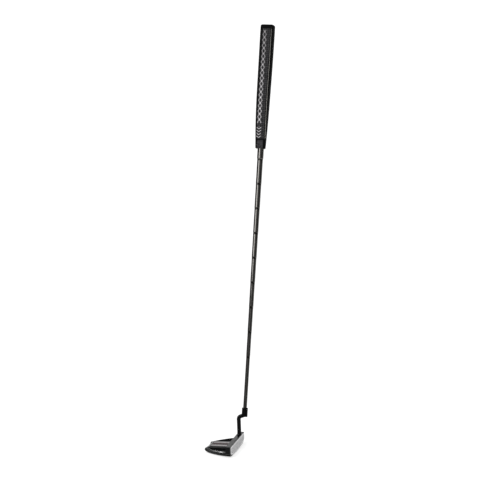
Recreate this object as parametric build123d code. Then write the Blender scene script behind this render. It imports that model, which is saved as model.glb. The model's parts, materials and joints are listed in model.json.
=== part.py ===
from build123d import *
import os
from math import cos, radians, sin

# Mallet putter, right-handed, standing at address.  Millimetres.
# +X points at the target, +Y from toe to heel, +Z up.  The origin is on the ground, in the middle
# of the sole's flat.  Head sections use "back", the distance behind the face plane.

# Driving dimensions
club_length = 887.5
lie_angle = 70.0
face_ahead = 34.0
face_half_length = 53.0
face_height = 24.0
head_depth = 67.3
blade_depth = 11.0
shaft_tip_diameter = 8.0
shaft_butt_diameter = 13.6
grip_length = 260.5

# Head
plate_thickness = 1.8
plate_bevel_width = 1.5
plate_bevel_depth = 0.5
insert_border = 3.4
insert_thickness = 1.0
adhesive_thickness = 0.15
topline_chamfer = 0.8
sole_flat_half = 14.0
camber_end_z = 4.4
camber_middle_z = 0.9
rear_rocker_z = 10.4
rocker_middle_z = 2.1
rocker_start = 50.0
leading_edge_z = 1.6
rim_front_z = 11.4
rim_rear_z = 8.8
scoop_inset = 4.6
rim_chamfer = 2.3
slab_height = 14.0
scoop_floor_z = 6.6
scoop_fillet = 2.0
scoop_corner = 3.0
scoop_rear_back = 54.0
scoop_width = 44.0
ridge_half_width = 20.0
ridge_edge_radius = 4.0
ridge_front_z = 13.2
ridge_rear_z = 12.0
ridge_rear_back = 55.8
ridge_end_z = 5.3
notch_depth = 6.3
notch_half_width = 27.0
sight_half_width = 3.2
strip_centre = 9.8
strip_half_width = 2.2
inlay_depth = 0.6
inlay_front_back = 11.8
inlay_rear_back = 53.5

# Neck
post_back = 4.5
spigot_back = 5.4
post_y = 30.0
post_diameter = 8.4
elbow_z = 63.0
elbow_radius = 5.5
flare_diameter = 9.0
flare_height = 8.0
socket_diameter = 12.4
socket_bottom = 67.0
socket_top = 86.2
socket_floor = 3.2
shaft_axis_ahead = 7.3
shaft_axis_y = 9.1
spigot_diameter = 6.0
spigot_length = 12.0
bond_gap = 0.15
screw_diameter = 3.0
screw_head_diameter = 5.5
screw_head_height = 2.6
screw_seat_z = 5.2
screw_engagement = 7.5
screw_hex = 2.0
screw_hex_depth = 1.4

# Sole weights
weight_y = 43.0
weight_back = 6.6
weight_diameter = 6.6
weight_bottom_z = 4.6
weight_length = 12.0
weight_hex = 3.0
weight_hex_depth = 3.0

# Shaft
shaft_wall = 0.55
shaft_steps = 9
first_step = 191.5
step_pitch = 51.6
step_length = 2.5
butt_step_drop = 1.4
shaft_end_gap = 0.2
plug_length = 6.0

# Grip
tape_thickness = 0.3
cap_height = 6.0
cap_edge_radius = 4.0
cap_vent_diameter = 2.4
cap_boss_length = 8.0
cap_boss_clearance = 0.1
collar_length = 17.0
collar_edge_radius = 1.2
panel_half_width = 8.6
panel_depth = 0.8
panel_end_gap = 3.0
stitch_centre = 10.4
stitch_width = 1.1
corner_share = 0.33
# Each grip section: distance from the top, half width, flat to axis, axis to back
grip_sections = [
    (0.0, 14.2, 11.4, 21.0),
    (54.0, 14.3, 11.7, 19.0),
    (117.0, 13.7, 13.0, 16.5),
    (180.0, 12.8, 13.8, 12.2),
    (224.0, 11.6, 12.0, 10.8),
    (260.5, 10.0, 9.6, 10.0),
]

parts = {}
shaft_base = Vector(face_ahead + shaft_axis_ahead, shaft_axis_y, 0)
shaft_direction = Vector(0, cos(radians(lie_angle)), sin(radians(lie_angle)))


def at_back(back):
    """X of a place this far behind the face plane."""
    return face_ahead - back


def along_shaft(solid):
    """Carry a solid built on the Z axis over to the shaft's axis, its -y side away from the player."""
    return Plane(origin=shaft_base, x_dir=(1, 0, 0), z_dir=shaft_direction) * solid


def turned(points):
    """Solid of revolution on Z from (radius, height) points."""
    outline = Plane.XZ * make_face(Polyline(*points, close=True))
    return revolve(outline, Axis.Z)


def tube(outer, inner, bottom, top):
    """Plain tube on Z."""
    height = top - bottom
    ring = Circle(outer / 2) - Circle(inner / 2)
    return Pos(0, 0, bottom) * extrude(ring, height)


def rod(x, y, bottom, top, diameter):
    """Vertical cylinder between two heights."""
    return Pos(x, y, bottom) * extrude(Circle(diameter / 2), top - bottom)


def block(back_from, back_to, y_from, y_to, bottom, top):
    """Box between two distances behind the face."""
    size = (back_to - back_from, y_to - y_from, top - bottom)
    middle = (at_back((back_from + back_to) / 2), (y_from + y_to) / 2, (bottom + top) / 2)
    return Pos(*middle) * Box(*size)


# ---------------------------------------------------------------- head


def face_outline():
    """Face seen from the front, on its own plane: flat top, rounded ends, cambered bottom."""
    half = face_half_length
    toe_half = [(-half, face_height), (-half, 8.6), (-half + 8.0, 4.4), (-28.0, 2.4), (-10.0, 0.9)]
    heel_half = [(-x, z) for x, z in reversed(toe_half)]
    face = make_face(Polyline(*toe_half, *heel_half, close=True))
    corner_radii = {8.6: 5.0, 4.4: 12.0, 2.4: 40.0}
    for height, radius in corner_radii.items():
        near = face.vertices().filter_by(lambda v: abs(v.Y - height) < 0.01)
        face = fillet(near, radius)
    top = face.vertices().filter_by(lambda v: v.Y > face_height - 0.01).sort_by(Axis.X)
    face = fillet(top[0], 2.0)
    top = face.vertices().filter_by(lambda v: v.Y > face_height - 0.01).sort_by(Axis.X)
    return fillet(top[-1], 3.6)


def face_at(back, inset=0.0):
    """Face outline, drawn in by the inset, standing this far behind the face."""
    outline = face_outline()
    if inset:
        outline = offset(outline, amount=-inset, kind=Kind.INTERSECTION)
    return Plane(origin=(at_back(back), 0, 0), x_dir=(0, 1, 0), z_dir=(1, 0, 0)) * outline


def face_solid(back_from, back_to, inset=0.0):
    """Face outline filled between two distances behind the face."""
    return extrude(face_at(back_from, inset), -(back_to - back_from))


def plan_outline(front_half, middle_half, narrow_half, rear_half, rear_back, inset=0.0):
    """Head seen from above: sides curve in towards a straight rear edge."""
    heel_side = Spline(
        (at_back(1.9), front_half - inset),
        (at_back(25.0), middle_half - inset),
        (at_back(42.0), narrow_half - inset),
        (at_back(rear_back - inset), rear_half - inset),
    )
    toe_side = mirror(heel_side, Plane.XZ)
    rear = Line(heel_side @ 1, toe_side @ 1)
    front = Line(heel_side @ 0, toe_side @ 0)
    return make_face([heel_side, rear, toe_side, front])


def upper_outline(inset=0.0):
    return plan_outline(52.6, 47.2, 39.6, 24.6, 62.6, inset)


def lower_outline():
    return plan_outline(46.5, 41.5, 33.5, 19.8, head_depth)


def wing_slab():
    """Head body behind the blade, before it is hollowed: walls lean outwards going up."""
    return loft([lower_outline(), Pos(0, 0, slab_height) * upper_outline()], ruled=True)


def sole_envelope():
    """Everything above the sole: flat in the middle, cambered to the ends, rockered to the rear."""
    half, high = face_half_length + 5, face_height + 60
    ends_toe = ThreePointArc((-half, camber_end_z), (-36.0, camber_middle_z), (-sole_flat_half, 0))
    across_lines = [
        ends_toe,
        Line((-sole_flat_half, 0), (sole_flat_half, 0)),
        mirror(ends_toe, Plane.YZ),
        Polyline((half, camber_end_z), (half, high), (-half, high), (-half, camber_end_z)),
    ]
    across = Plane(origin=(at_back(-5), 0, 0), x_dir=(0, 1, 0), z_dir=(1, 0, 0))
    camber = extrude(across * make_face(across_lines), -(head_depth + 15))
    rear_x, start_x = at_back(head_depth + 5), at_back(rocker_start)
    lead_x, flat_x = at_back(0), at_back(9.0)
    along_lines = [
        ThreePointArc((rear_x, rear_rocker_z), (at_back(60.0), rocker_middle_z), (start_x, 0)),
        Line((start_x, 0), (flat_x, 0)),
        ThreePointArc((flat_x, 0), (at_back(4.0), 0.3), (lead_x, leading_edge_z)),
        Polyline((lead_x, leading_edge_z), (lead_x, high), (rear_x, high), (rear_x, rear_rocker_z)),
    ]
    rocker = extrude(Plane.XZ * make_face(along_lines), half, both=True)
    return camber & rocker


def below_rim():
    """Space under the sloping plane of the wing rims."""
    slope = (rim_front_z - rim_rear_z) / (head_depth - 20.0)
    front_z, rear_z = rim_front_z + slope * 20.0, rim_rear_z - slope * 5.0
    rear_x = at_back(head_depth + 5)
    side = Polyline((at_back(0), -5), (at_back(0), front_z), (rear_x, rear_z), (rear_x, -5), close=True)
    return extrude(Plane.XZ * make_face(side), 80, both=True)


def ridge():
    """Raised centre of the head, with sloped sides and a sloped rear end."""
    top_half = ridge_half_width - 1.8
    foot_half = ridge_half_width + 2.4
    section = Polyline((-foot_half, 0), (-top_half, 20), (top_half, 20), (foot_half, 0), close=True)
    front = Plane(origin=(at_back(blade_depth - 2), 0, 0), x_dir=(0, 1, 0), z_dir=(1, 0, 0))
    bar = extrude(front * make_face(section), -(head_depth - blade_depth + 2))
    side = Polyline(
        (at_back(0), 0),
        (at_back(0), ridge_front_z),
        (at_back(ridge_rear_back), ridge_rear_z),
        (at_back(head_depth), ridge_end_z),
        (at_back(head_depth), 0),
        close=True,
    )
    body = bar & extrude(Plane.XZ * make_face(side), 40, both=True)
    long_edges = body.edges().filter_by(lambda e: e.length > 40 and e.center().Z > ridge_rear_z - 1)
    return fillet(long_edges, ridge_edge_radius)


def scoop(side):
    """Hollow between the ridge and one wing's rim; side is +1 at the heel, -1 at the toe."""
    inner = upper_outline(scoop_inset)
    length = scoop_rear_back - blade_depth
    wanted = Pos(at_back(blade_depth + length / 2), side * 40, 0) * Rectangle(length, scoop_width)
    shape = inner & wanted
    rounded = fillet(shape.vertices(), scoop_corner)
    pocket = Pos(0, 0, scoop_floor_z) * extrude(rounded, 20)
    floor_edges = pocket.edges().group_by(Axis.Z)[0]
    return fillet(floor_edges, scoop_fillet)


def tail_notch():
    """Shallow round hollow in the middle of the rear edge."""
    radius = (notch_half_width**2 + notch_depth**2) / (2 * notch_depth)
    return rod(at_back(head_depth - notch_depth + radius), 0, -1, 20, 2 * radius)


def weight_pocket(y):
    return rod(at_back(weight_back), y, -1, weight_bottom_z + weight_length, weight_diameter)


def neck_hole():
    """Spigot hole in the topline, screw hole below it and the counterbore in the sole."""
    x = at_back(spigot_back)
    spigot_end = face_height - spigot_length
    bonded = rod(x, post_y, spigot_end - bond_gap, face_height + 1, spigot_diameter + 2 * bond_gap)
    shank = rod(x, post_y, 0, spigot_end, screw_diameter + 0.4)
    head = rod(x, post_y, -1, screw_seat_z, screw_head_diameter + 0.5)
    return bonded + shank + head


def inlay_box(y_middle, half_width):
    return block(inlay_front_back, inlay_rear_back, y_middle - half_width, y_middle + half_width, 5, 20)


def inlay(y_middle, half_width):
    """Strip let into the ridge's top, flush with it."""
    lowered = Pos(0, 0, -inlay_depth) * ridge()
    return (ridge() - lowered) & inlay_box(y_middle, half_width)


sight_inlays = {
    "sight_line": inlay(0, sight_half_width),
    "sight_strip_toe": inlay(-strip_centre, strip_half_width),
    "sight_strip_heel": inlay(strip_centre, strip_half_width),
}


def head_body():
    slab = wing_slab()
    rims = slab & below_rim()
    rim_top = rims.faces().sort_by(Axis.Z)[-1]
    outer_edges = rim_top.edges().filter_by(lambda e: abs(e.center().Y) > 1).sort_by(Axis.Y)
    rims = chamfer([outer_edges[0], outer_edges[-1]], rim_chamfer)
    body = rims - scoop(1) - scoop(-1) + (ridge() & slab) - tail_notch()
    blade = face_solid(plate_thickness, blade_depth)
    front_edges = blade.faces().sort_by(Axis.X)[-1].edges().filter_by(lambda e: e.center().Z > 9)
    body = body + chamfer(front_edges, topline_chamfer)
    body = body & sole_envelope()
    body = body - block(-5, plate_thickness, -60, 60, -1, 40)
    for y in (-weight_y, weight_y):
        body = body - weight_pocket(y)
    for piece in sight_inlays.values():
        body = body - piece
    return body - neck_hole()


def face_plate():
    bevel = loft([face_at(plate_bevel_depth), face_at(0, plate_bevel_width)], ruled=True)
    plate = bevel + face_solid(plate_bevel_depth, plate_thickness)
    return plate - face_solid(-1, insert_thickness + adhesive_thickness, insert_border)


def hex_pocket(x, y, bottom, top, across):
    """Six-sided key hole, measured across its flats."""
    outline = RegularPolygon(across / 2, 6, major_radius=False)
    return Pos(x, y, bottom) * extrude(outline, top - bottom)


def sole_weight(y):
    """Threaded plug with a key hole in its lower end."""
    x = at_back(weight_back)
    plug = rod(x, y, weight_bottom_z, weight_bottom_z + weight_length, weight_diameter)
    plug = chamfer(plug.edges().group_by(Axis.Z)[0], 0.4)
    return plug - hex_pocket(x, y, weight_bottom_z, weight_bottom_z + weight_hex_depth, weight_hex)


parts["head_body"] = head_body()
parts["face_plate"] = face_plate()
parts["face_insert"] = face_solid(0, insert_thickness, insert_border)
parts["insert_adhesive"] = face_solid(
    insert_thickness, insert_thickness + adhesive_thickness, insert_border
)
parts.update(sight_inlays)
parts["sole_weight_toe"] = sole_weight(-weight_y)
parts["sole_weight_heel"] = sole_weight(weight_y)


# ---------------------------------------------------------------- neck


def neck():
    """Post up from the topline, a forward jog and the socket that leans with the shaft."""
    x = at_back(post_back)
    spigot_x = at_back(spigot_back)
    spigot_end = face_height - spigot_length
    foot = (x, post_y, face_height)
    socket_middle = shaft_base + shaft_direction * (socket_bottom + post_diameter / 2)
    route = FilletPolyline(foot, (x, post_y, elbow_z), tuple(socket_middle), radius=elbow_radius)
    post = sweep(Plane(origin=foot) * Circle(post_diameter / 2), path=route)
    spigot = rod(spigot_x, post_y, spigot_end, face_height, spigot_diameter)
    flare = Pos(x, post_y, face_height) * turned(
        [(0, 0), (flare_diameter / 2, 0), (post_diameter / 2, flare_height), (0, flare_height)]
    )
    socket = along_shaft(rod(0, 0, socket_bottom, socket_top, socket_diameter))
    socket = chamfer(socket.edges().filter_by(GeomType.CIRCLE), 0.6)
    body = spigot + post + flare + socket
    bore = rod(0, 0, socket_bottom + socket_floor, socket_top + 1, shaft_tip_diameter + 2 * bond_gap)
    thread_top = spigot_end + screw_engagement + 1
    thread = rod(spigot_x, post_y, spigot_end - 1, thread_top, screw_diameter)
    return body - along_shaft(bore) - thread


def neck_bond():
    """Film of adhesive round the spigot and under its end."""
    x = at_back(spigot_back)
    spigot_end = face_height - spigot_length
    film = rod(x, post_y, spigot_end - bond_gap, face_height, spigot_diameter + 2 * bond_gap)
    film = film - rod(x, post_y, spigot_end, face_height + 1, spigot_diameter)
    return film - rod(x, post_y, 0, face_height, screw_diameter + 0.4)


def neck_screw():
    """Cap screw pushed up from the sole, its thread in the spigot."""
    x = at_back(spigot_back)
    top = face_height - spigot_length + screw_engagement
    shank = rod(x, post_y, screw_seat_z, top, screw_diameter)
    head = rod(x, post_y, screw_seat_z - screw_head_height, screw_seat_z, screw_head_diameter)
    key_floor = screw_seat_z - screw_head_height + screw_hex_depth
    return shank + head - hex_pocket(x, post_y, 0, key_floor, screw_hex)


parts["neck"] = neck()
parts["neck_adhesive"] = neck_bond()
parts["neck_screw"] = neck_screw()


# ---------------------------------------------------------------- shaft

shaft_bottom = socket_bottom + socket_floor + shaft_end_gap
shaft_top = club_length - cap_height
step_drop = (shaft_butt_diameter - butt_step_drop - shaft_tip_diameter) / (shaft_steps - 1)


def shaft_outline(radius_change):
    """(radius, height) points up the stepped wall: short cones, the last one larger."""
    radius = shaft_tip_diameter / 2 + radius_change
    points = [(radius, shaft_bottom)]
    for step in range(shaft_steps):
        height = first_step + step * step_pitch
        points.append((radius, height))
        radius += (butt_step_drop if step == shaft_steps - 1 else step_drop) / 2
        points.append((radius, height + step_length))
    points.append((radius, shaft_top))
    return points


def shaft():
    outside = shaft_outline(0)
    inside = shaft_outline(-shaft_wall)
    return along_shaft(turned(outside + list(reversed(inside))))


def tip_plug():
    bottom = shaft_bottom + shaft_end_gap
    return along_shaft(rod(0, 0, bottom, bottom + plug_length, shaft_tip_diameter - 2 * shaft_wall))


def shaft_bond():
    """Sleeve of epoxy between the tip of the shaft and the socket."""
    return along_shaft(
        tube(shaft_tip_diameter + 2 * bond_gap, shaft_tip_diameter, shaft_bottom, socket_top)
    )


parts["shaft"] = shaft()
parts["tip_plug"] = tip_plug()
parts["shaft_adhesive"] = shaft_bond()


# ---------------------------------------------------------------- grip

grip_bottom = club_length - grip_length
tape_diameter = shaft_butt_diameter + 2 * tape_thickness


def grip_section(from_top, half, front, back):
    """Flat front with rounded corners, straight sides and an elliptical back."""
    corner = corner_share * half
    bend = corner * (1 - cos(radians(45)))
    lines = [
        Line((-half, 0), (-half, corner - front)),
        ThreePointArc((-half, corner - front), (-half + bend, bend - front), (corner - half, -front)),
        Line((corner - half, -front), (half - corner, -front)),
        ThreePointArc((half - corner, -front), (half - bend, bend - front), (half, corner - front)),
        Line((half, corner - front), (half, 0)),
        EllipticalCenterArc((0, 0), half, back, start_angle=0, arc_size=180),
    ]
    return Pos(0, 0, club_length - from_top) * make_face(lines)


def grip_skin():
    return loft([grip_section(*section) for section in reversed(grip_sections)])


def slice_of(solid, bottom, top):
    height = top - bottom
    return solid & Pos(0, 0, bottom + height / 2) * Box(80, 80, height)


def grip_pieces():
    skin = grip_skin()
    collar_top = grip_bottom + collar_length
    cap_bottom = club_length - cap_height
    front_layer = skin - Pos(0, panel_depth, 0) * skin
    inlay_bottom, inlay_top = collar_top + panel_end_gap, cap_bottom - panel_end_gap
    length = inlay_top - inlay_bottom

    def strip(x_middle, width):
        box = Pos(x_middle, -15, inlay_bottom + length / 2) * Box(width, 20, length)
        return front_layer & box

    panel = strip(0, 2 * panel_half_width)
    front_stitch = strip(stitch_centre, stitch_width)
    rear_stitch = strip(-stitch_centre, stitch_width)
    bore = rod(0, 0, grip_bottom - 1, cap_bottom, tape_diameter)
    body = slice_of(skin, collar_top, cap_bottom) - panel - front_stitch - rear_stitch - bore
    collar = slice_of(skin, grip_bottom, collar_top) - bore
    lower_edges = collar.faces().sort_by(Axis.Z)[0].outer_wire().edges()
    collar = fillet(lower_edges, collar_edge_radius)
    cap = slice_of(skin, cap_bottom, club_length)
    cap = fillet(cap.faces().sort_by(Axis.Z)[-1].edges(), cap_edge_radius)
    boss_diameter = shaft_butt_diameter - 2 * shaft_wall - 2 * cap_boss_clearance
    cap = cap + rod(0, 0, cap_bottom - cap_boss_length, cap_bottom, boss_diameter)
    cap = cap - rod(0, 0, cap_bottom - cap_boss_length - 1, club_length + 1, cap_vent_diameter)
    tape = tube(tape_diameter, shaft_butt_diameter, grip_bottom, cap_bottom)
    return {
        "grip_body": body,
        "front_panel": panel,
        "stitch_front": front_stitch,
        "stitch_rear": rear_stitch,
        "end_collar": collar,
        "butt_cap": cap,
        "grip_tape": tape,
    }


for piece_name, piece in grip_pieces().items():
    parts[piece_name] = along_shaft(piece)


os.makedirs("parts", exist_ok=True)
for name, solid in parts.items():
    solid.label = name
    export_step(solid, f"parts/{name}.step")
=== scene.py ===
import json
import bpy
import numpy as np
from mathutils import Matrix, Vector
from mathutils.bvhtree import BVHTree


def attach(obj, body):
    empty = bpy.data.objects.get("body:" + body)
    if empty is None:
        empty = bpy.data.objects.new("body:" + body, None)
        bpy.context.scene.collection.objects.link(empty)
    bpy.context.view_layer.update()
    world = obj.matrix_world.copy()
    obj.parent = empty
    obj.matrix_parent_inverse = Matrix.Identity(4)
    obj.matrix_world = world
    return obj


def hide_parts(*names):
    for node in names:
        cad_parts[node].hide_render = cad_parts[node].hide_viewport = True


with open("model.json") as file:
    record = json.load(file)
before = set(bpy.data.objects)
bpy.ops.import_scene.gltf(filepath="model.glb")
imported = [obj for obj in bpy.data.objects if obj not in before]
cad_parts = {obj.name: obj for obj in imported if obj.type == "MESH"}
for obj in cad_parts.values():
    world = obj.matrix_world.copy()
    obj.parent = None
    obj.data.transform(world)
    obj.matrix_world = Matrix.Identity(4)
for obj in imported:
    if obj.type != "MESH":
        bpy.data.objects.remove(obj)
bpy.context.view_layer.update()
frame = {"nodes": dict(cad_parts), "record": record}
nodes = frame["nodes"]
mounts = {mount["name"]: mount for mount in frame["record"]["mounts"]}
mm = 0.001

view = dict(
    azimuth=16.098, elevation=15.133, roll=-1.971,  # degrees
    target=(0.034, 0.150, 0.420), distance=7.0,
    lens=252.45, sensor=36.0, shift=(-0.0221, -0.00845),
)


# camera: looks from its azimuth and elevation at the target, then rolls about its own line of sight
def setCamera(look):
    azimuth, elevation, roll = np.radians([look["azimuth"], look["elevation"], look["roll"]])
    back = Vector((np.sin(azimuth) * np.cos(elevation), -np.cos(azimuth) * np.cos(elevation),
                   np.sin(elevation)))
    right = Vector((0, 0, 1)).cross(back).normalized()
    up = back.cross(right)
    x = right * np.cos(roll) + up * np.sin(roll)
    y = up * np.cos(roll) - right * np.sin(roll)
    camera = bpy.data.objects.new("camera", bpy.data.cameras.new("camera"))
    camera.data.sensor_width = look["sensor"]
    camera.data.lens = look["lens"]
    camera.data.shift_x, camera.data.shift_y = look["shift"]
    camera.data.clip_end = 100
    turn = Matrix((x, y, back)).transposed().to_4x4()
    place = Vector(look["target"]) + back * look["distance"]
    camera.matrix_world = Matrix.Translation(place) @ turn
    bpy.context.scene.collection.objects.link(camera)
    bpy.context.scene.camera = camera


setCamera(view)
print("camera set")


# a new piece of the club from its points and faces
def addPiece(name, points, faces, smooth=True):
    mesh = bpy.data.meshes.new(name)
    mesh.from_pydata(points, [], faces)
    mesh.update()
    if smooth:
        mesh.polygons.foreach_set("use_smooth", np.ones(len(mesh.polygons), dtype=bool))
    piece = bpy.data.objects.new(name, mesh)
    bpy.context.scene.collection.objects.link(piece)
    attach(piece, "root")
    return piece


# quads between neighbouring rows and columns of a grid of points, the columns joined up if closed
def gridFaces(rows, columns, closed=False, first=0):
    i, j = np.meshgrid(np.arange(rows - 1), np.arange(columns if closed else columns - 1),
                       indexing="ij")
    k = (j + 1) % columns
    corners = [i * columns + j, i * columns + k, (i + 1) * columns + k, (i + 1) * columns + j]
    return np.stack(corners, axis=-1).reshape(-1, 4) + first


# numbers of the points round a grid's edge: first row, last column, last row backwards, first column
def gridRim(rows, columns):
    return np.concatenate([
        np.arange(columns),
        np.arange(1, rows) * columns + columns - 1,
        rows * columns - 2 - np.arange(columns - 1),
        np.arange(rows - 2, 0, -1) * columns,
    ])


def meshPoints(thing):
    flat = np.empty(len(thing.data.vertices) * 3)
    thing.data.vertices.foreach_get("co", flat)
    return flat.reshape(-1, 3)


def newMaterial(name, color, roughness, metallic=0.0, specular=0.5):
    material = bpy.data.materials.new(name)
    material.use_nodes = True
    sockets = shaderOf(material).inputs
    sockets["Base Color"].default_value = (*color, 1)
    sockets["Roughness"].default_value = roughness
    sockets["Metallic"].default_value = metallic
    sockets["Specular IOR Level"].default_value = specular
    return material


def shaderOf(material):
    return material.node_tree.nodes["Principled BSDF"]


def shade(color, amount):
    return tuple(amount * channel for channel in color)


# a node with its settings, and its inputs linked or given
def addNode(material, kind, inputs=None, **settings):
    tree = material.node_tree
    node = tree.nodes.new(kind)
    for key, value in settings.items():
        setattr(node, key, value)
    for key, value in (inputs or {}).items():
        socket = node.inputs[key]
        if isinstance(value, bpy.types.NodeSocket):
            tree.links.new(value, socket)
        else:
            socket.default_value = value
    return node


def link(material, output, socket):
    material.node_tree.links.new(output, shaderOf(material).inputs[socket])


def objectPlace(material, stretch=(1, 1, 1), turn=(0, 0, 0)):
    place = addNode(material, "ShaderNodeTexCoord").outputs["Object"]
    inputs = {"Vector": place, "Scale": stretch, "Rotation": turn}
    return addNode(material, "ShaderNodeMapping", inputs).outputs[0]


def axisOf(material, place, axis):
    return addNode(material, "ShaderNodeSeparateXYZ", {"Vector": place}).outputs[axis]


def mathNode(material, operation, a, b=0.0):
    return addNode(material, "ShaderNodeMath", {0: a, 1: b}, operation=operation).outputs[0]


def noise(material, place, scale, detail=3.0, roughness=0.6):
    inputs = {"Vector": place, "Scale": scale, "Detail": detail, "Roughness": roughness}
    return addNode(material, "ShaderNodeTexNoise", inputs).outputs["Fac"]


def remap(material, value, fromLow, fromHigh, low=0.0, high=1.0):
    inputs = {"Value": value, "From Min": fromLow, "From Max": fromHigh, "To Min": low, "To Max": high}
    return addNode(material, "ShaderNodeMapRange", inputs).outputs["Result"]


# noise mostly lies between 0.3 and 0.7, so that part is spread over the whole range
def spread(material, factor, low=0.0, high=1.0):
    return remap(material, factor, 0.3, 0.7, low, high)


def mixColors(material, factor, a, b):
    node = addNode(material, "ShaderNodeMix", {"Factor": factor}, data_type="RGBA")
    for socket, value in ((node.inputs[6], a), (node.inputs[7], b)):  # the two colour sockets
        if isinstance(value, bpy.types.NodeSocket):
            material.node_tree.links.new(value, socket)
        else:
            socket.default_value = (*value, 1)
    return node.outputs[2]


def bump(material, height, depth):
    node = addNode(material, "ShaderNodeBump", {"Height": height, "Distance": depth})
    link(material, node.outputs["Normal"], "Normal")


def dress(names, material):
    for name in names:
        slots = nodes[name].material_slots
        if not slots:
            nodes[name].data.materials.append(material)
        for slot in slots:
            slot.material = material


# shaft coordinates: x across the club, s up the shaft from the ground, h out of the flat front
shaftUp = np.array(mounts["grip_hold"]["axis"])
gripPoint = np.array(mounts["grip_hold"]["pos_m"])
shaftFoot = gripPoint - shaftUp * gripPoint[2] / shaftUp[2]  # where the axis meets the ground
sideWays = np.array((1.0, 0.0, 0.0))
frontOut = np.cross(sideWays, shaftUp)  # straight out of the flat, away from the player


def fromShaft(x, s, h):
    return shaftFoot + x[..., None] * sideWays + s[..., None] * shaftUp + h[..., None] * frontOut


def toShaft(points):
    local = points - shaftFoot
    return local @ sideWays, local @ shaftUp, local @ frontOut


casting = dict(rows=90, edge=0.03 * mm, height=60 * mm)


# height of a node's front surface above the axis: a small table over x and s, found by rays cast in
# from the front, the outermost ones just inside its edges
def frontSurface(name, columns):
    tree = BVHTree.FromObject(nodes[name], bpy.context.evaluated_depsgraph_get())
    x, s, _ = toShaft(meshPoints(nodes[name]))
    xs, ss = np.linspace(x.min(), x.max(), columns), np.linspace(s.min(), s.max(), casting["rows"])
    edge = casting["edge"]
    xGrid, sGrid = np.meshgrid(np.clip(xs, xs[0] + edge, xs[-1] - edge),
                               np.clip(ss, ss[0] + edge, ss[-1] - edge))
    starts = fromShaft(xGrid, sGrid, np.full_like(xGrid, casting["height"])).reshape(-1, 3)
    hits = np.array([tree.ray_cast(Vector(start), Vector(-frontOut))[0] for start in starts])
    return xs, ss, toShaft(hits)[2].reshape(xGrid.shape)


# the table read between its points, along x and then along s
def surfaceAt(surface, xGrid, sGrid):
    xs, ss, table = surface
    i = np.clip((sGrid - ss[0]) / (ss[1] - ss[0]), 0, len(ss) - 1.001)
    j = np.clip((xGrid - xs[0]) / (xs[1] - xs[0]), 0, len(xs) - 1.001)
    i0, j0 = i.astype(int), j.astype(int)
    u, v = i - i0, j - j0
    near = table[i0, j0] * (1 - v) + table[i0, j0 + 1] * v
    far = table[i0 + 1, j0] * (1 - v) + table[i0 + 1, j0 + 1] * v
    return near * (1 - u) + far * u


headLook = dict(
    color=(0.0022, 0.0024, 0.0025), cloudTone=1.5, roughness=(0.15, 0.20), specular=0.08,
    grainScale=1500.0, grainDepth=0.007 * mm, cloudScale=60.0,
    wornColor=(0.10, 0.10, 0.10), wornHeight=0.9 * mm, wornFrom=0.42, wornTo=0.6,
    scuffStretch=(900, 120, 1), plateEdge=33.96 * mm,
    neckSpecular=0.06,
)
plateLook = dict(
    color=(0.62, 0.62, 0.625), cloudTone=0.86, cloudScale=140.0, roughness=(0.26, 0.40),
    lineScale=(1, 60, 900), lineDepth=0.004 * mm,
)
insertLook = dict(
    pitch=1.1 * mm, depth=0.14 * mm, sharpness=1.4,  # grooves
    columns=26, rowsPerLine=6, endZone=12 * mm, plainEnds=1 / 30,
    color=(0.47, 0.47, 0.475), cloudTone=0.8, cloudScale=170.0, roughness=(0.26, 0.4),
    lineScale=(1, 40, 900), lineDepth=0.004 * mm,
)


# satin plating: fine cast grain, cloudy gloss, and bare metal rubbed through low on the sole
def satinBlack(name, look, specular, worn=True):
    m = newMaterial(name, look["color"], look["roughness"][0], specular=specular)
    place = objectPlace(m)
    clouds = noise(m, place, look["cloudScale"], 4.0)
    link(m, spread(m, clouds, *look["roughness"]), "Roughness")
    color = mixColors(m, spread(m, clouds), look["color"], shade(look["color"], look["cloudTone"]))
    if worn:
        scuffs = noise(m, objectPlace(m, look["scuffStretch"]), 1.0, 5.0)
        low = remap(m, axisOf(m, place, "Z"), 0.0, look["wornHeight"], 1.0, 0.0)
        rubbed = remap(m, mathNode(m, "MULTIPLY", low, scuffs), look["wornFrom"], look["wornTo"])
        color = mixColors(m, rubbed, color, look["wornColor"])
    link(m, color, "Base Color")
    bump(m, noise(m, place, look["grainScale"], 2.0), look["grainDepth"])
    return m


# machined plate: cutter lines along its front flat, plated black on its bevel and edges
def machinedPlate(look, head):
    m = newMaterial("machined plate", look["color"], look["roughness"][0], metallic=1.0)
    place = objectPlace(m)
    lines = noise(m, objectPlace(m, look["lineScale"]), 1.0)
    clouds = noise(m, place, look["cloudScale"], 4.0)
    front = mathNode(m, "GREATER_THAN", axisOf(m, place, "X"), head["plateEdge"])
    silver = mixColors(m, spread(m, clouds), look["color"], shade(look["color"], look["cloudTone"]))
    link(m, mixColors(m, front, head["color"], silver), "Base Color")
    link(m, front, "Metallic")
    link(m, spread(m, lines, *look["roughness"]), "Roughness")
    bump(m, lines, look["lineDepth"])
    return m


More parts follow.
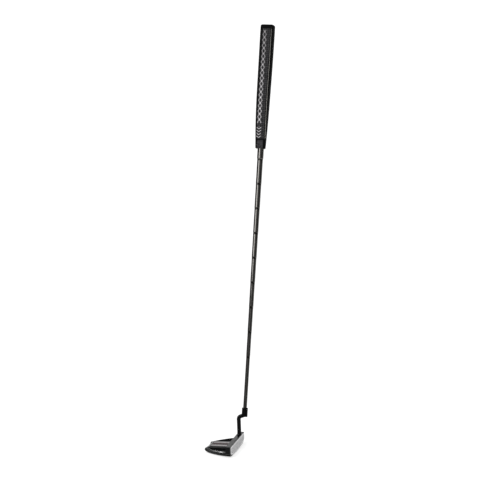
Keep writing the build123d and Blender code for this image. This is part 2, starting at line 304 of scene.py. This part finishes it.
# insert: rows of flat-bottomed grooves, so depth = a clipped cosine of the height, fading out at the
# two ends, which follow the CAD outline
def milledInsert(look):
    points = meshPoints(nodes["face_insert"])
    front, back = points[:, 0].max(), points[:, 0].min()
    outline = points[np.abs(points[:, 0] - front) < 0.01 * mm]
    low, high = outline[:, 2].min(), outline[:, 2].max()
    lines = int((high - low) / look["pitch"])
    z = np.linspace(low, high, lines * look["rowsPerLine"] + 1)
    ends = []
    for side in (-1, 1):  # how far the outline reaches at each height, towards the toe and the heel
        half = outline[outline[:, 1] * side > look["endZone"]]
        half = half[np.argsort(half[:, 2])]
        ends.append(np.interp(z, half[:, 2], half[:, 1]))
    across = np.linspace(0, 1, look["columns"])
    y = ends[0][:, None] * (1 - across) + ends[1][:, None] * across
    wave = np.cos(2 * np.pi * (z - low) / look["pitch"])
    groove = look["depth"] * np.clip(0.5 - look["sharpness"] * wave, 0, 1)
    inside = np.minimum(1, np.minimum(across, 1 - across) / look["plainEnds"])
    x = front - groove[:, None] * inside[None, :]
    x[[0, -1], :] = front
    zGrid = np.broadcast_to(z[:, None], y.shape)
    cut = np.stack([x, y, zGrid], axis=-1).reshape(-1, 3)
    under = np.stack([np.full_like(x, back), y, zGrid], axis=-1).reshape(-1, 3)
    rows, columns = y.shape
    faces = gridFaces(rows, columns)
    rim = gridRim(rows, columns)
    after = np.roll(rim, -1)
    walls = np.stack([after, rim, rim + len(cut), after + len(cut)], axis=-1)
    allFaces = np.concatenate([faces, faces[:, ::-1] + len(cut), walls])
    piece = addPiece("milled_insert", np.concatenate([cut, under]).tolist(), allFaces.tolist(),
                     smooth=False)
    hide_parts("face_insert")
    m = newMaterial("milled insert", look["color"], look["roughness"][0], metallic=1.0)
    clouds = noise(m, objectPlace(m, (1, 1, 2)), look["cloudScale"], 5.0)
    color = mixColors(m, spread(m, clouds), look["color"], shade(look["color"], look["cloudTone"]))
    link(m, color, "Base Color")
    link(m, spread(m, clouds, *look["roughness"]), "Roughness")
    bump(m, noise(m, objectPlace(m, look["lineScale"]), 1.0), look["lineDepth"])
    piece.data.materials.append(m)


dress(["head_body"], satinBlack("satin black head", headLook, headLook["specular"]))
dress(["neck"], satinBlack("satin black neck", headLook, headLook["neckSpecular"], worn=False))
dress(["face_plate"], machinedPlate(plateLook, headLook))
milledInsert(insertLook)
print("head dressed")

# each enamel: its pieces, its colour and its roughness
enamelLook = {
    "dark red enamel": (["sight_line"], (0.034, 0.008, 0.011), 0.7),
    "light grey enamel": (["sight_strip_toe", "sight_strip_heel"], (0.30, 0.275, 0.28), 0.42),
}
enamelFinish = dict(specular=0.35, cloudScale=220.0, cloudTone=0.8, peelScale=700.0, peelDepth=0.02 * mm)


# enamel poured into a channel: slightly uneven colour, a faint orange-peel surface
def enamel(name, color, roughness, look):
    m = newMaterial(name, color, roughness, specular=look["specular"])
    place = objectPlace(m)
    clouds = noise(m, place, look["cloudScale"])
    link(m, mixColors(m, spread(m, clouds), color, shade(color, look["cloudTone"])), "Base Color")
    bump(m, noise(m, place, look["peelScale"]), look["peelDepth"])
    return m


for name, (pieces, color, roughness) in enamelLook.items():
    dress(pieces, enamel(name, color, roughness, enamelFinish))


# cloud colour and roughness as shares of the finish's own, grain scale as a multiple of the clouds'
innerClouds = dict(tone=0.72, glossy=0.8, matt=1.25, grain=6)


# plain metals and fillers of the pieces inside: colour clouds, roughness clouds and a fine grain
def plainFinish(name, color, roughness, metallic, scale, depth):
    look = innerClouds
    m = newMaterial(name, color, roughness, metallic)
    place = objectPlace(m)
    clouds = noise(m, place, scale, 4.0)
    link(m, mixColors(m, spread(m, clouds), color, shade(color, look["tone"])), "Base Color")
    roughest = min(1.0, roughness * look["matt"])
    link(m, spread(m, clouds, roughness * look["glossy"], roughest), "Roughness")
    bump(m, noise(m, place, scale * look["grain"]), depth)
    return m


# each inner finish: colour, roughness, metallic, cloud scale and grain depth
innerLook = {
    "sole_weight_toe sole_weight_heel":
        ("turned steel", (0.42, 0.42, 0.43), 0.28, 1.0, 260.0, 0.006 * mm),
    "neck_screw":
        ("dark screw steel", (0.16, 0.16, 0.165), 0.35, 1.0, 260.0, 0.006 * mm),
    "neck_adhesive shaft_adhesive insert_adhesive":
        ("cured epoxy", (0.55, 0.50, 0.36), 0.35, 0.0, 300.0, 0.02 * mm),
    "tip_plug":
        ("cork plug", (0.30, 0.19, 0.10), 0.85, 0.0, 600.0, 0.15 * mm),
    "grip_tape":
        ("paper tape", (0.62, 0.55, 0.38), 0.80, 0.0, 500.0, 0.05 * mm),
}
for names, look in innerLook.items():
    dress(names.split(), plainFinish(*look))

shaftLook = dict(
    color=(0.095, 0.092, 0.087), roughness=(0.09, 0.16), cloudScale=90.0,
    scratchStretch=(60, 60, 1600), scratchDepth=0.0015 * mm,
    # painted shade: a dark ring of colour just below each step of the shaft
    stepShadeColor=(0.018, 0.017, 0.016), firstStepShade=189.3 * mm, ringPitch=51.6 * mm, stepShadeLength=2.6 * mm,
)


# polished plating: fine scratches run round the tube, so they are stretched across it; a ring of painted
# shade lies under each step, wherever the height along the shaft, less whole pitches, is small
def darkChrome(look):
    m = newMaterial("smoked chrome", look["color"], look["roughness"][0], metallic=1.0)
    place = objectPlace(m)
    link(m, spread(m, noise(m, place, look["cloudScale"], 4.0), *look["roughness"]), "Roughness")
    tilt = np.arctan2(shaftUp[1], shaftUp[2])
    scratches = noise(m, objectPlace(m, look["scratchStretch"], (tilt, 0, 0)), 1.0)
    bump(m, scratches, look["scratchDepth"])
    height = addNode(m, "ShaderNodeVectorMath", {0: place, 1: tuple(shaftUp)}, operation="DOT_PRODUCT")
    first = float(shaftFoot @ shaftUp) + look["firstStepShade"]
    above = mathNode(m, "SUBTRACT", height.outputs["Value"], first)
    sinceStep = mathNode(m, "FLOORED_MODULO", above, look["ringPitch"])
    # ring: painted shade, darkening the chrome just below each step
    ring = mathNode(m, "LESS_THAN", sinceStep, look["stepShadeLength"])
    ring = mathNode(m, "MULTIPLY", ring, mathNode(m, "GREATER_THAN", above))
    link(m, mixColors(m, ring, look["color"], look["stepShadeColor"]), "Base Color")
    return m


dress(["shaft"], darkChrome(shaftLook))
print("shaft dressed")

gripLook = dict(
    color=(0.003, 0.0029, 0.0031), bloom=(0.005, 0.0048, 0.0052), fine=(0.060, 0.058, 0.062),
    roughness=(0.55, 0.75), specular=0.02,
)
# each rubber: pale colour, patch scale, pebble scale and depth, half width of the band where the patches
# show, outside which the flanks stay dark as painted shade
rubberLook = {
    "grip_body": ("pebbled rubber", gripLook["bloom"], 130.0, 900.0, 0.16 * mm, 40 * mm),
    "end_collar": ("grained collar", gripLook["fine"], 330.0, 1300.0, 0.20 * mm, 7 * mm),
    "butt_cap": ("smooth cap rubber", gripLook["bloom"], 130.0, 2400.0, 0.03 * mm, 40 * mm),
}
panelLook = dict(
    castColumns=13, across=54, along=1150, relief=0.38 * mm, inset=0.12 * mm, under=0.78 * mm,
    laceCentre=-3.4 * mm, laceHalf=4.7 * mm, lacePitch=11.55 * mm, lacePhase=860 * mm,
    laceWidth=1.3 * mm, laceRounding=0.985, laceTop=875.5 * mm, laceBottom=679 * mm,
    knotRadius=3.0 * mm, laceTone=0.60, knotTone=1.0, chevronTone=0.8,
    wornFrom=700 * mm, wornTo=880 * mm, wornTone=0.5,
    chevronBottom=649 * mm, chevronTop=673 * mm, chevronPitch=6.0 * mm, chevronWidth=1.25 * mm,
    chevronSlope=0.75, chevronMargin=1 * mm,
    weavePitch=4.2 * mm, weaveRelief=0.14 * mm,
    paint=(0.85, 0.82, 0.84), wornPaint=0.6, rubber=(0.003, 0.0029, 0.0031),
    # crest grey: painted sheen on the weave's raised crests
    crestSheen=(0.075, 0.073, 0.077), crestSheenScale=260.0, crestSheenLow=0.2, wearScale=500.0,
    roughness=(0.5, 0.7), specular=0.06, grainScale=1400.0, grainDepth=0.05 * mm,
)
seamLook = dict(
    castColumns=5, pitch=5.7 * mm, length=3.4 * mm, radius=0.54 * mm, lift=0.05 * mm,
    slant=0.35 * mm, bluntness=5, endShare=0.12, archShare=0.5,
    around=8, rows=9, backingTop=0.66 * mm, backingBottom=0.78 * mm,
    light=(0.42, 0.41, 0.38), dark=(0.02, 0.02, 0.02), fuzzTone=0.55,
    fuzzStretch=(2600, 2600, 900), fuzzDepth=0.06 * mm,
)


# moulded rubber: leather-like pebbles, and paler mottled patches kept to a band along the middle, a
# painted highlight, with the flanks left dark as painted shade
def rubber(look, name, pale, patchScale, pebbleScale, pebbleDepth, litBandHalf):
    m = newMaterial(name, look["color"], look["roughness"][0], specular=look["specular"])
    place = objectPlace(m)
    patches = noise(m, place, patchScale, 5.0)
    fromMiddle = mathNode(m, "SUBTRACT", axisOf(m, place, "X"), float(shaftFoot[0]))
    # band: painted light, pale patches only along the middle, flanks left dark
    band = remap(m, mathNode(m, "ABSOLUTE", fromMiddle), litBandHalf - 1 * mm, litBandHalf, 1.0, 0.0)
    amount = mathNode(m, "MULTIPLY", band, spread(m, patches))
    link(m, mixColors(m, amount, look["color"], pale), "Base Color")
    link(m, spread(m, patches, *look["roughness"]), "Roughness")
    cells = addNode(m, "ShaderNodeTexVoronoi", {"Vector": place, "Scale": pebbleScale})
    bump(m, cells.outputs["Distance"], pebbleDepth)
    return m


# a smooth ridge: 1 on the line, falling to 0 at the given half width
def ridgeShape(distance, half):
    t = np.clip(1 - np.abs(distance) / half, 0, 1)
    return t * t * (3 - 2 * t)


# laces: two mirrored zigzags of the height along the grip and a round knot where they cross
def laceShapes(look, xGrid, sGrid):
    turns = (sGrid - look["lacePhase"]) / look["lacePitch"]
    zigzag = 2 / np.pi * np.arcsin(look["laceRounding"] * np.sin(np.pi * turns))
    half = look["laceHalf"] - look["laceWidth"] / 2
    slope = 2 * half / look["lacePitch"]
    laces = []
    for way in (-1, 1):
        centre = look["laceCentre"] + way * half * zigzag
        laces.append(ridgeShape((xGrid - centre) / np.sqrt(1 + slope ** 2), look["laceWidth"]))
    toKnot = np.hypot(xGrid - look["laceCentre"], (turns - np.round(turns)) * look["lacePitch"])
    return np.maximum(*laces), ridgeShape(toKnot, look["knotRadius"])


# chevrons: ridges at whole pitches of the height less a share of the distance from the middle
def chevronShapes(look, xGrid, sGrid):
    fromCentre = np.abs(xGrid - look["laceCentre"])
    arm = sGrid - look["chevronSlope"] * fromCentre
    step = (arm - look["chevronBottom"]) / look["chevronPitch"]
    ridge = ridgeShape((step - np.round(step)) * look["chevronPitch"], look["chevronWidth"])
    inside = (arm > look["chevronBottom"] - look["chevronMargin"]) & (sGrid < look["chevronTop"])
    return np.where(inside & (fromCentre < look["laceHalf"]), ridge, 0)


# front panel: the CAD strip's surface with laces, chevrons and a woven relief, which is the product
# of two slanting sines; the paint and the weave are kept as attributes
def lacedPanel(look):
    surface = frontSurface("front_panel", look["castColumns"])
    x = np.linspace(surface[0][0], surface[0][-1], look["across"])
    s = np.linspace(surface[1][0], surface[1][-1], look["along"])
    xGrid, sGrid = np.meshgrid(x, s)
    lace, knot = laceShapes(look, xGrid, sGrid)
    chevron = chevronShapes(look, xGrid, sGrid)
    inLace = (sGrid > look["laceBottom"]) & (sGrid < look["laceTop"])
    raised = np.where(inLace, np.maximum(lace, knot), chevron)
    worn = np.interp(sGrid, [look["wornFrom"], look["wornTo"]], [1, look["wornTone"]])
    lacePaint = worn * np.maximum(look["laceTone"] * lace, look["knotTone"] * knot)
    tone = np.where(inLace, lacePaint, look["chevronTone"] * chevron)
    weave = (np.sin(np.pi * (xGrid + sGrid) / look["weavePitch"])
             * np.sin(np.pi * (xGrid - sGrid) / look["weavePitch"]))
    weave = (0.5 + 0.5 * weave) * (1 - raised)
    top = surfaceAt(surface, xGrid, sGrid) - look["inset"]
    height = top + look["relief"] * raised + look["weaveRelief"] * weave - look["relief"]
    height[:, [0, -1]] = top[:, [0, -1]] - look["relief"]
    height[[0, -1], :] = top[[0, -1], :] - look["relief"]
    low = surfaceAt(surface, xGrid, sGrid) - look["under"]
    rows, columns = xGrid.shape
    rim = gridRim(rows, columns)
    pointsTop = fromShaft(xGrid, sGrid, height).reshape(-1, 3)
    pointsLow = fromShaft(xGrid, sGrid, low).reshape(-1, 3)[rim]
    ring = len(pointsTop) + np.arange(len(rim))
    walls = np.stack([np.roll(rim, -1), rim, ring, np.roll(ring, -1)], axis=-1)
    # the underside: quads between the low ring's two long sides, and a face across each short end
    left = np.concatenate([[ring[0]], ring[::-1][:rows - 1]])
    right = ring[columns - 1:columns - 1 + rows]
    under = np.stack([left[:-1], left[1:], right[1:], right[:-1]], axis=-1)
    farEnd = columns + rows - 2
    faces = gridFaces(rows, columns).tolist() + walls.tolist() + under.tolist()
    faces.append(ring[:columns][::-1].tolist())
    faces.append(ring[farEnd:farEnd + columns][::-1].tolist())
    piece = addPiece("laced_panel", np.concatenate([pointsTop, pointsLow]).tolist(), faces)
    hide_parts("front_panel")
    for attribute, values in (("paint", tone), ("weave", weave)):
        amount = np.zeros(len(piece.data.vertices))
        amount[:len(pointsTop)] = values.reshape(-1)
        kept = piece.data.attributes.new(attribute, "FLOAT", "POINT")
        kept.data.foreach_set("value", amount)
    piece.data.materials.append(paintedRubber(look))


# pale paint over black rubber, with grey painted in patches on the weave's raised crests, a painted
# sheen of its relief
def paintedRubber(look):
    m = newMaterial("laced panel", look["rubber"], 0.6, specular=look["specular"])
    place = objectPlace(m)
    wear = noise(m, place, look["wearScale"], 4.0)
    painted = addNode(m, "ShaderNodeAttribute", attribute_name="paint").outputs["Fac"]
    woven = addNode(m, "ShaderNodeAttribute", attribute_name="weave").outputs["Fac"]
    paint = mixColors(m, spread(m, wear), look["paint"], shade(look["paint"], look["wornPaint"]))
    patches = spread(m, noise(m, place, look["crestSheenScale"], 3.0, 0.7), look["crestSheenLow"], 1.0)
    # ground: black rubber with grey on the weave's crests, a painted sheen
    ground = mixColors(m, mathNode(m, "MULTIPLY", woven, patches), look["rubber"], look["crestSheen"])
    link(m, mixColors(m, painted, ground, paint), "Base Color")
    link(m, spread(m, wear, *look["roughness"]), "Roughness")
    bump(m, noise(m, place, look["grainScale"]), look["grainDepth"])
    return m


# a seam: capsules along the groove, each leaning a little across it, their radius falling at both
# ends as a blunt ellipse; a strip of backing fills the groove's floor, so the thread lies on it
def stitchedSeam(name, node, look, color):
    surface = frontSurface(node, look["castColumns"])
    side, run = surface[0][[0, -1]], surface[1]
    rows, around = look["rows"], look["around"]
    count = int((run[-1] - run[0]) / look["pitch"])
    starts = run[0] + look["pitch"] * (np.arange(count) + 0.5)
    t = np.linspace(-1, 1, rows)
    size = look["radius"] * np.sqrt(np.clip(1 - np.abs(t) ** look["bluntness"], 0, 1))
    size[[0, -1]] = look["radius"] * look["endShare"]
    t, size = t[None, :, None], size[None, :, None]
    angle = np.linspace(2 * np.pi, 0, around, endpoint=False)  # this way round, faces point outwards
    shape = (count, rows, around)
    sGrid = np.broadcast_to(starts[:, None, None] + t * look["length"] / 2, shape)
    xGrid = np.broadcast_to(side.mean() + look["slant"] * t + size * np.cos(angle), shape)
    arch = look["radius"] * look["archShare"] * t ** 2
    sunk = look["radius"] + look["lift"] + arch - size * np.sin(angle)
    points = fromShaft(xGrid, sGrid, surfaceAt(surface, xGrid, sGrid) - sunk).reshape(-1, 3)
    perStitch = rows * around
    shifts = np.arange(count) * perStitch
    tubes = gridFaces(rows, around, closed=True)[None] + shifts[:, None, None]
    bottoms = np.arange(around)[None, ::-1] + shifts[:, None]
    tops = perStitch - around + np.arange(around)[None] + shifts[:, None]
    base = len(points)
    corners = [(side[0], look["backingTop"]), (side[1], look["backingTop"]),
               (side[1], look["backingBottom"]), (side[0], look["backingBottom"])]
    strip = []
    for x, depth in corners:
        xLine = np.full_like(run, x)
        strip.append(fromShaft(xLine, run, surfaceAt(surface, xLine, run) - depth))
    strip = np.stack(strip, axis=1).reshape(-1, 3)
    last = base + (len(run) - 1) * 4
    faces = tubes.reshape(-1, 4).tolist() + bottoms.tolist() + tops.tolist()
    faces += gridFaces(len(run), 4, closed=True, first=base).tolist()
    faces += [[base + 3, base + 2, base + 1, base], [last, last + 1, last + 2, last + 3]]
    piece = addPiece(name, np.concatenate([points, strip]).tolist(), faces)
    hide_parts(node)
    m = newMaterial(name.replace("_", " "), color, 0.7, specular=0.3)
    fuzz = noise(m, objectPlace(m, look["fuzzStretch"]), 1.0)
    link(m, mixColors(m, spread(m, fuzz), color, shade(color, look["fuzzTone"])), "Base Color")
    bump(m, fuzz, look["fuzzDepth"])
    piece.data.materials.append(m)


for node, finish in rubberLook.items():
    dress([node], rubber(gripLook, *finish))
lacedPanel(panelLook)
stitchedSeam("seam_front", "stitch_front", seamLook, seamLook["light"])
stitchedSeam("seam_rear", "stitch_rear", seamLook, seamLook["dark"])
print("grip dressed")

studio = dict(
    # a lit table, so shadows stay pale
    floorRadius=14.0, floorCorners=96, floorColor=(0.42, 0.42, 0.42), floorGlow=0.64,
    # height of the direction, brightness
    dome=((0.0, 0.10), (0.30, 0.16), (0.48, 1.05), (1.0, 1.25)),
    # each soft box: place, point it faces, width and height, brightness
    boxes={
        "rim": ((-0.95, -0.35, 0.73), (0.0, 0.0, 0.0), (0.30, 0.06), 230.0),
        "rimRear": ((-1.06, -0.12, 0.63), (0.0, 0.0, 0.0), (0.24, 0.08), 75.0),
        "left": ((-0.52, -0.86, 1.11), (0.04, 0.22, 0.73), (0.55, 0.62), 7.0),
        "back": ((-2.2, 7.5, 2.3), (0.0, 0.0, 0.05), (7.5, 2.6), 1.15),
    },
    # boxes screened off from everything but these pieces
    screened={"rim": ["head_body"], "rimRear": ["head_body"]},
)


def addFloor(look):
    angle = np.linspace(0, 2 * np.pi, look["floorCorners"], endpoint=False)
    rim = look["floorRadius"] * np.stack([np.cos(angle), np.sin(angle), 0 * angle], axis=-1)
    mesh = bpy.data.meshes.new("floor")
    mesh.from_pydata(rim.tolist(), [], [list(range(len(rim)))])
    floor = bpy.data.objects.new("floor", mesh)
    bpy.context.scene.collection.objects.link(floor)
    material = newMaterial("floor", look["floorColor"], 1.0, specular=0.0)
    shaderOf(material).inputs["Emission Color"].default_value = (1, 1, 1, 1)
    shaderOf(material).inputs["Emission Strength"].default_value = look["floorGlow"]
    mesh.materials.append(material)


def addBox(name, place, facing, size, brightness):
    light = bpy.data.lights.new(name, "AREA")
    light.shape = "RECTANGLE"
    light.size, light.size_y = size
    light.energy = brightness * np.pi * size[0] * size[1]
    box = bpy.data.objects.new(name, light)
    away = Vector(place) - Vector(facing)
    box.location = place
    box.rotation_euler = away.to_track_quat("Z", "Y").to_euler()
    box.visible_camera = False
    bpy.context.scene.collection.objects.link(box)
    return box


def screenBox(box, pieces):
    lit = bpy.data.collections.new(box.name + " lights only")
    for piece in pieces:
        lit.objects.link(nodes[piece])
    box.light_linking.receiver_collection = lit


# sky whose brightness depends only on how high the direction points
def addDome(stops):
    world = bpy.data.worlds.new("studio")
    bpy.context.scene.world = world
    world.use_nodes = True
    place = addNode(world, "ShaderNodeTexCoord").outputs["Generated"]
    node = addNode(world, "ShaderNodeValToRGB", {"Fac": axisOf(world, place, "Z")})
    band = node.color_ramp.elements
    for k, (height, level) in enumerate(stops):
        stop = band[k] if k < 2 else band.new(height)
        stop.position = height
        stop.color = (level, level, level, 1)
    background = world.node_tree.nodes["Background"].inputs["Color"]
    world.node_tree.links.new(node.outputs["Color"], background)


addFloor(studio)
boxes = {name: addBox(name, *box) for name, box in studio["boxes"].items()}
for name, pieces in studio["screened"].items():
    screenBox(boxes[name], pieces)
addDome(studio["dome"])
bpy.context.scene.view_settings.view_transform = "Standard"
print("studio set")
